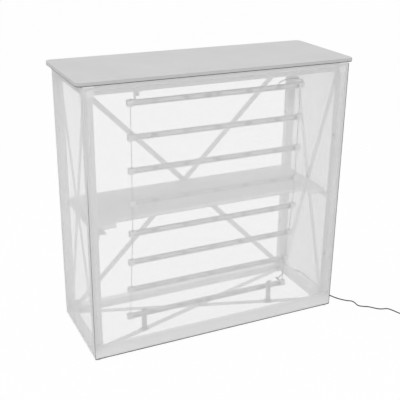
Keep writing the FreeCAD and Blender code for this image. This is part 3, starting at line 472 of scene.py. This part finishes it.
def sheerCloth(side, look, across, low, high):
    finish = Finish(f"sheerCloth{side.capitalize()}",
                    {"Roughness": 0.85, "Specular IOR Level": 0.15, "Sheen Weight": 0.05})
    x, y, z = finish.axes()
    along = x if across == 0 else y
    yarn = finish.ripple(along, look["yarn"]).most(finish.ripple(z, look["yarn"]))
    sideEdge = (along - low[across]).least(high[across] - along)
    levelEdge = (z - low.z).least(high.z - z)
    edge = sideEdge.least(levelEdge)
    edgeHem = 1 - finish.fade(edge, look["hem"] - look["hemFade"], look["hem"])
    footHeight = look["footHem"][side]
    footHem = 1 - finish.fade(z - low.z, footHeight - look["hemFade"], footHeight)
    hem = edgeHem.most(footHem)
    dash = finish.ripple(along + z, look["stitch"])
    stitch = finish.line(edge, look["stitchFromEdge"], look["stitchWidth"]) * finish.fade(dash, 0.3, 0.5)
    dense = look["alpha"][side] + look["yarnContrast"] * (yarn - 0.7)
    slack = finish.noise(5, 2, (1, 1, 0.6))
    shade = finish.tint(finish.fade(yarn, 0.2, 1.0), grey(look["dark"]), grey(look["pale"]))
    # the hem grows paler toward the floor: painted light
    hemShade = finish.tint(finish.fade(z - low.z, 0, look["footShadeTo"]),
                           grey(look["footShade"]), grey(look["hemShade"]))
    shade = finish.tint(hem, shade, hemShade)
    relief = yarn * look["yarnRise"] + slack * look["slackRise"] + stitch * look["stitchRise"]
    finish.give({
        "Base Color": finish.tint(stitch, shade, grey(look["thread"])),
        "Alpha": (dense + hem * (look["hemAlpha"] - dense)).most(stitch * look["threadAlpha"]),
        "Normal": finish.bump(relief, 1.0, 0.5),
    })
    return finish


def stretchPanel(side, turned, spec):
    node = f"fabric_{side}"
    low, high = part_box(node)
    across = 0 if side == "front" else 1
    middle, width, height = (low + high) / 2, (high - low)[across], high.z - low.z
    stand = Matrix.Rotation(math.radians(turned), 4, "Z") @ Matrix.Rotation(math.radians(90), 4, "X")
    place = Matrix.Translation(middle) @ stand @ Matrix.Diagonal((width, height, 1, 1))
    bm = bmesh.new()
    bmesh.ops.create_grid(bm, x_segments=24, y_segments=24, size=0.5, matrix=place)
    name = f"fabricPanel{side.capitalize()}"
    panel = addPiece(bm, name, sheerCloth(side, spec, across, low, high))
    thick = panel.modifiers.new("thickness", "SOLIDIFY")
    thick.thickness = spec["thickness"]
    thick.offset = 0
    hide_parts(node)
    return panel, (width, height)


# Seams of the fabric: a dark corded edge down both front corners, for the seam and the shade in the gap
# between the panels, painted darker lower down on the left; along the front's foot a dark cord is a
# painted shadow of the gap under the rail
seamShadeCords = {  # radius, shade below and shade above
    "seamShadeLeft": (0.0008, 0.22, 0.70),
    # the foot cord is a painted shadow of the gap under the rail
    "footShadowCord": (0.0014, 0.05, 0.05),
    "seamShadeRight": (0.0010, 0.12, 0.14),
    "shadeSpan": (0.58, 0.76),  # heights between which the shade changes
    "twist": 0.0026,
    "footRise": 0.0036,
}


def seamShadeFinish(name, spec):
    below, above = spec[name][1:]
    finish = Finish(f"{name}Cord", {"Roughness": 0.8, "Specular IOR Level": 0.2})
    x, y, z = finish.axes()
    twist = finish.ripple(x + z + 0.5 * y, spec["twist"])
    share = finish.fade(twist * 0.8 + 0.2 * finish.noise(300), 0, 1)
    lower = finish.tint(share, grey(below * 0.7), grey(below * 1.3))
    upper = finish.tint(share, grey(above * 0.8), grey(above * 1.2))
    finish.give({
        "Base Color": finish.tint(finish.fade(z, *spec["shadeSpan"]), lower, upper),
        "Normal": finish.bump(twist, 0.0002, 0.6),
    })
    return finish


def laySeamShades(spec):
    low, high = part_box("fabric_front")
    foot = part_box("bottom_rail_front")[0].z + spec["footRise"]
    outline = ((low.x, high.z), (low.x, foot), (high.x, foot), (high.x, high.z))
    corners = [Vector((x, low.y, z)) for x, z in outline]
    seamShades = []
    for name, start, end in zip(("seamShadeLeft", "footShadowCord", "seamShadeRight"), corners, corners[1:]):
        radius = spec[name][0]
        way = end - start
        place = Matrix.Translation((start + end) / 2) @ way.to_track_quat("Z", "Y").to_matrix().to_4x4()
        bm = bmesh.new()
        bmesh.ops.create_cone(bm, cap_ends=True, segments=10, radius1=radius, radius2=radius,
                              depth=way.length, matrix=place)
        rims = [edge for edge in bm.edges if len(edge.link_faces) == 2 and
                any(len(face.verts) > 4 for face in edge.link_faces)]
        bmesh.ops.bevel(bm, geom=rims, offset=radius * 0.5, affect="EDGES", segments=2, profile=0.5,
                        material=-1)
        seamShades.append(addPiece(bm, name, seamShadeFinish(name, spec), smooth=True))
    return seamShades


panels = {side: stretchPanel(side, turned, sheerFabric)
          for side, turned in (("front", 0), ("left", -90), ("right", 90))}
seamShades = laySeamShades(seamShadeCords)
for side, (panel, flat) in panels.items():
    seamShadesOn = seamShades if side == "front" else []
print("fabric stretched")

# Aluminium frame
postLook = {"dark": 0.81, "pale": 0.88, "roughness": 0.5, "metallic": 0.15, "lines": 800}
# the front posts take a darker copy of the profile colour: painted shade
frontPost = {**postLook, "dark": 0.70, "pale": 0.77}
# the back right post is painted darker toward its top: painted shade below the top hub
shadedPost = {**postLook, "head": 0.52, "headSpan": (0.72, 0.84)}
# the rails take a paler copy of the profile colour as painted light, and darken toward the top rails as
# painted shade
railLook = {**postLook, "dark": 0.91, "pale": 0.98, "head": 0.62, "headSpan": (0, 1)}
for axis, look, names in (
    ("x", railLook, ["top_rail_front", "top_rail_back", "bottom_rail_front", "bottom_rail_back"]),
    ("y", railLook, ["top_rail_left", "top_rail_right", "bottom_rail_left", "bottom_rail_right"]),
    ("z", frontPost, ["post_front_left", "post_front_right"]),
):
    dress(satinMetal(f"anodisedProfile{axis.upper()}", look, axis), *names)
dress(satinMetal("anodisedProfileLeft", postLook, "z"), "post_back_left")
dress(satinMetal("anodisedProfileRight", shadedPost, "z"), "post_back_right")

braceLook = {"dark": 0.90, "pale": 0.97, "roughness": 0.48, "metallic": 0.1, "lines": 420}
braces = [f"{side}_brace_{way}" for side in ("back", "left", "right") for way in ("rising", "falling")]
for level in ("bottom", "top"):
    braces += [f"{level}_brace_from_front_left", f"{level}_brace_from_back_left"]
dress(satinMetal("braceBar", braceLook), *braces)

steelLook = {"dark": 0.48, "pale": 0.58, "roughness": 0.36, "metallic": 0.95, "lines": 1500}
fastenerSteel = satinMetal("fastenerSteel", steelLook)
dress(fastenerSteel, "brace_pivots", "brace_end_pins", "bearer_screws_and_nuts")

hubLook = {"dark": 0.82, "pale": 0.89, "grain": 2400, "roughness": 0.55, "depth": 0.00006}
dress(mouldedPlastic("hubPlastic", hubLook), "corner_hubs_top", "corner_hubs_bottom")

footLook = {"dark": 0.42, "pale": 0.50, "grain": 1800, "roughness": 0.65, "depth": 0.00008}
dress(mouldedPlastic("footPlastic", footLook), "glide_feet")

siliconeLook = {"dark": 0.82, "pale": 0.89, "grain": 900, "roughness": 0.5, "depth": 0.00004}
siliconeEdge = mouldedPlastic("siliconeEdge", siliconeLook)
dress(siliconeEdge, "edge_strip_front", "edge_strip_left", "edge_strip_right")
print("frame dressed")

# Countertop and shelf: laminated boards with an edge band, which ends bandDrop below the face
topBoard = {
    "dark": 0.575,
    "pale": 0.625,
    "band": 0.49,
    "bandDrop": 0.0022,
    "bandFade": 0.0005,
    # colour of the lines on the band; the foot line is a painted shadow
    "paintedLineShade": 0.11,
    "footLine": 0.0036,
    "headLine": 0.0016,
    "headShare": 0.2,
    "speck": 1300,
    "roughness": 0.42,
}
shelfBoard = {**topBoard, "dark": 0.91, "pale": 0.97, "band": 0.89, "bandDrop": 0.0012, "paintedLineShade": 0.50,
              "footLine": 0.0024, "roughness": 0.48}


def laminateBoard(node, look):
    # the band has a darker line at its foot, a painted shadow under the board's edge, and a faint dark
    # line at its head
    low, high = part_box(node)
    bandTop = high.z - look["bandDrop"]
    finish = Finish(f"{node}Laminate", {"Specular IOR Level": 0.4})
    x, y, z = finish.axes()
    speck = finish.noise(look["speck"], 1)
    cloud = finish.noise(6, 3)
    share = finish.fade(speck * 0.5 + cloud * 0.5, 0.3, 0.7)
    face = finish.tint(share, grey(look["dark"]), grey(look["pale"]))
    foot = finish.line(z, low.z + look["footLine"] * 0.4, look["footLine"])
    head = finish.line(z, bandTop, look["headLine"])
    band = 1 - finish.fade(z, bandTop - look["bandFade"], bandTop + look["bandFade"])
    edge = finish.tint(finish.fade(speck, 0.3, 0.7), grey(look["band"] * 0.97), grey(look["band"] * 1.03))
    coloured = finish.tint(band, face, edge)
    finish.give({
        "Base Color": finish.tint(foot.most(head * look["headShare"]), coloured, grey(look["paintedLineShade"])),
        "Roughness": look["roughness"] + 0.1 * (speck - 0.5) + 0.08 * band,
        "Normal": finish.bump(speck, 0.00003, 0.5),
    })
    return finish


for node, look in (("countertop", topBoard), ("shelf", shelfBoard)):
    dress(laminateBoard(node, look), node)

pegLook = {"dark": 0.70, "pale": 0.78, "grain": 1500, "roughness": 0.5, "depth": 0.00004}
dress(mouldedPlastic("pegPlastic", pegLook), "countertop_pegs")

bearerLook = {"dark": 0.86, "pale": 0.94, "roughness": 0.5, "metallic": 0.15, "lines": 260}
dress(satinMetal("bearerPaint", bearerLook, "y"), "shelf_bearer_left", "shelf_bearer_right")
print("boards dressed")

# Light bars: each is near white at its foot, painted light for its shaded lower lip, and darkens from its
# foot up to headUpTo of its height as painted shade
channelLook = {"dark": 0.94, "pale": 0.99, "head": 0.66, "headUpTo": 0.85, "roughness": 0.45,
               "metallic": 0.1, "lines": 900}
for number, (low, high) in enumerate(barBoxes):
    span = (low.z, low.z + channelLook["headUpTo"] * (high.z - low.z))
    barChannel = satinMetal(f"barChannel{number + 1}", {**channelLook, "headSpan": span}, "x")
    dress(barChannel, barNames[number])
capLook = {"dark": 0.74, "pale": 0.82, "grain": 2200, "roughness": 0.5, "depth": 0.00005}
dress(mouldedPlastic("barCap", capLook), "light_end_caps")
strapLook = {"dark": 0.58, "pale": 0.66, "roughness": 0.42, "metallic": 0.25, "lines": 600}
dress(satinMetal("strapPaint", strapLook), "curtain_hangers", "curtain_foot_clips")

lensLook = {"dark": 0.74, "pale": 0.90, "prism": 0.0011}


def prismLens(look):
    finish = Finish("prismLens", {"Roughness": 0.12, "IOR": 1.49, "Transmission Weight": 0.35})
    x, y, z = finish.axes()
    prism = finish.ripple(x, look["prism"])
    finish.give({
        "Base Color": finish.tint(prism, grey(look["dark"]), grey(look["pale"])),
        "Normal": finish.bump(prism, 0.0002, 0.5),
    })
    return finish


dress(prismLens(lensLook), "light_lenses")

lampModules = {
    "pitch": 0.120,
    "count": 5,
    "wall": 0.0012,
    "screwFromMiddle": 0.0095,
    "screwRadius": 0.0017,
    "screwTaper": 0.7,
    "screwHeight": 0.0010,
    "screwRim": 0.0005,
    "socketDepth": 0.0006,
    "socketTaper": 0.00005,
    "wireRadius": 0.0006,
    "wireRise": 0.0064,
    "wireEnd": 0.330,
}


def moduleScrews(spec, finish):
    # two screws hold each lens to the back wall of its bar; each has a socket in its head
    bm = bmesh.new()
    forward = Matrix.Rotation(math.radians(90), 4, "X")
    radius, tall = spec["screwRadius"], spec["screwHeight"]
    modules = [(number - (spec["count"] - 1) / 2) * spec["pitch"] for number in range(spec["count"])]
    spots = [middle + side * spec["screwFromMiddle"] for middle in modules for side in (-1, 1)]
    for low, high in barBoxes:
        for x in spots:
            place = Matrix.Translation((x, high.y - spec["wall"] - tall / 2, (low.z + high.z) / 2))
            bmesh.ops.create_cone(bm, cap_ends=True, segments=12, radius1=radius,
                                  radius2=radius * spec["screwTaper"], depth=tall, matrix=place @ forward)
    bm.normal_update()
    fronts = [face for face in bm.faces if face.normal.y < -0.9]
    bmesh.ops.inset_individual(bm, faces=fronts, thickness=spec["screwRim"], use_even_offset=True)
    bmesh.ops.inset_individual(bm, faces=fronts, thickness=spec["socketTaper"], depth=-spec["socketDepth"])
    return addPiece(bm, "moduleScrews", finish)


def moduleWires(spec, finish):
    # a pair of wires runs along the back wall of each bar, above and below the lenses
    bm = bmesh.new()
    run = Matrix.Rotation(math.radians(90), 4, "Y")
    radius = spec["wireRadius"]
    for middle in barMiddles:
        back = middle.y + barSize.y / 2 - spec["wall"] - radius
        for side in (-1, 1):
            place = Matrix.Translation((0, back, middle.z + side * spec["wireRise"]))
            bmesh.ops.create_cone(bm, cap_ends=True, segments=8, radius1=radius, radius2=radius,
                                  depth=2 * spec["wireEnd"], matrix=place @ run)
    return addPiece(bm, "moduleWires", finish, smooth=True)


screwLook = {"dark": 0.10, "pale": 0.20, "roughness": 0.4, "metallic": 0.8, "lines": 2500}
moduleScrews(lampModules, satinMetal("moduleScrew", screwLook))
wireLook = {"dark": 0.62, "pale": 0.76, "roughness": 0.5}
moduleWires(lampModules, flexSheath("moduleWire", wireLook))

barConnector = {
    "bars": (0, 7),
    "x": -0.043,
    "block": (0.022, 0.0096, 0.0150),
    "blockRim": 0.0007,
    "slot": (0.0050, 0.0012, 0.0138),
    "slotRim": 0.0003,
    "slotGap": 0.0106,
    "slotProud": 0.0002,
}


def barJoiner(spec, finish, slotFinish):
    # the plug-in joint in the top and the bottom bar, with two dark contact slots
    blocks, slots = bmesh.new(), bmesh.new()
    deep = spec["block"][1]
    for number in spec["bars"]:
        low, high = barBoxes[number]
        middle = (low.z + high.z) / 2
        back = high.y - lampModules["wall"]
        place = Matrix.Translation((spec["x"], back - deep / 2, middle))
        bmesh.ops.create_cube(blocks, size=1, matrix=place @ Matrix.Diagonal((*spec["block"], 1)))
        for side in (-1, 1):
            x = spec["x"] + side * spec["slotGap"] / 2
            place = Matrix.Translation((x, back - deep - spec["slotProud"], middle))
            bmesh.ops.create_cube(slots, size=1, matrix=place @ Matrix.Diagonal((*spec["slot"], 1)))
    for name, bm, rim, look, slotName in (
        ("barJoiners", blocks, spec["blockRim"], finish, "light_cap"),
        ("barJoinerSlots", slots, spec["slotRim"], slotFinish, "lead_rubber"),
    ):
        bmesh.ops.bevel(bm, geom=bm.edges[:], offset=rim, affect="EDGES", segments=2, profile=0.5,
                        material=-1)
        addPiece(bm, name, look)


rubberLook = {"dark": 0.022, "pale": 0.045, "grain": 1900, "roughness": 0.6, "depth": 0.00006,
              "specular": 0.35}
darkRubber = mouldedPlastic("darkRubber", rubberLook)
barJoiner(barConnector, mouldedPlastic("barJoiner", capLook), darkRubber)
dress(darkRubber, "jumper_grommets", "lead_strain_relief")
adapterLook = {"dark": 0.028, "pale": 0.045, "grain": 2600, "roughness": 0.48, "depth": 0.00006}
dress(mouldedPlastic("adapterPlastic", adapterLook), "power_adapter")
pinLook = {"dark": 0.62, "pale": 0.72, "roughness": 0.25, "metallic": 1.0, "lines": 2200}
dress(satinMetal("adapterPin", pinLook), "adapter_pins")
print("light bars and leads dressed")

# Floor, world and lamps
studio = {
    "floorHalf": 45,
    "floorDrop": 0.0003,  # keeps it clear of the feet
    "floorColour": 0.90,
    "floorGlow": 0.97,  # share of the floor that shows plain white to the camera
    "worldLight": 0.70,
    "lamps": {  # place, aim, size, power
        "overheadLamp": ((0.0, -0.4, 4.5), (0, 0, 1), 3.0, 30),
        "frontLamp": ((-0.1, -3.8, 0.8), (0, 0, 0.45), 2.5, 33),
        "sideLamp": ((-3.6, 0.2, 0.9), (-0.5, 0, 0.5), 2.0, 21),
    },
}


def seenShare(bench):
    rays = bench.node("ShaderNodeLightPath").socket.node.outputs
    seen = [Wire(bench, rays[f"Is {kind} Ray"]) for kind in ("Camera", "Glossy", "Transmission")]
    return (seen[0] + seen[1] + seen[2]).least(1.0)


def layFloor(spec):
    bm = bmesh.new()
    bmesh.ops.create_grid(bm, x_segments=1, y_segments=1, size=spec["floorHalf"],
                          matrix=Matrix.Translation((0, 0, -spec["floorDrop"])))
    mesh = bpy.data.meshes.new("studioFloor")
    bm.to_mesh(mesh)
    bm.free()
    floor = bpy.data.objects.new("studioFloor", mesh)
    scene.collection.objects.link(floor)
    finish = Finish("studioFloor", {"Base Color": grey(spec["floorColour"]), "Roughness": 0.9,
                                    "Specular IOR Level": 0.1})
    glow = finish.node("ShaderNodeEmission", None, {"Color": grey(1), "Strength": 1.0})
    shown = finish.node("ShaderNodeMixShader", None, {
        0: seenShare(finish) * spec["floorGlow"],
        1: Wire(finish, finish.shader.outputs[0]),
        2: glow,
    })
    finish.fill(finish.tree.nodes["Material Output"], {"Surface": shown})
    mesh.materials.append(finish.material)


def lightWorld(spec):
    world = bpy.data.worlds.new("studioWorld")
    world.use_nodes = True
    scene.world = world
    bench = Bench(world.node_tree)
    sky = bench.tree.nodes["Background"]
    strength = spec["worldLight"] + (1 - spec["worldLight"]) * seenShare(bench)
    bench.fill(sky, {"Color": grey(1), "Strength": strength})


def setLamp(name, place, aim, size, power):
    lamp = bpy.data.lights.new(name, "AREA")
    lamp.shape = "DISK"
    lamp.size = size
    lamp.energy = power
    lit = bpy.data.objects.new(name, lamp)
    scene.collection.objects.link(lit)
    way = Vector(aim) - Vector(place)
    lit.matrix_world = Matrix.Translation(place) @ way.to_track_quat("-Z", "Y").to_matrix().to_4x4()


layFloor(studio)
lightWorld(studio)
for name, facts in studio["lamps"].items():
    setLamp(name, *facts)
scene.cycles.transparent_max_bounces = 24  # light passes many layers of sheer cloth
print("studio lit")
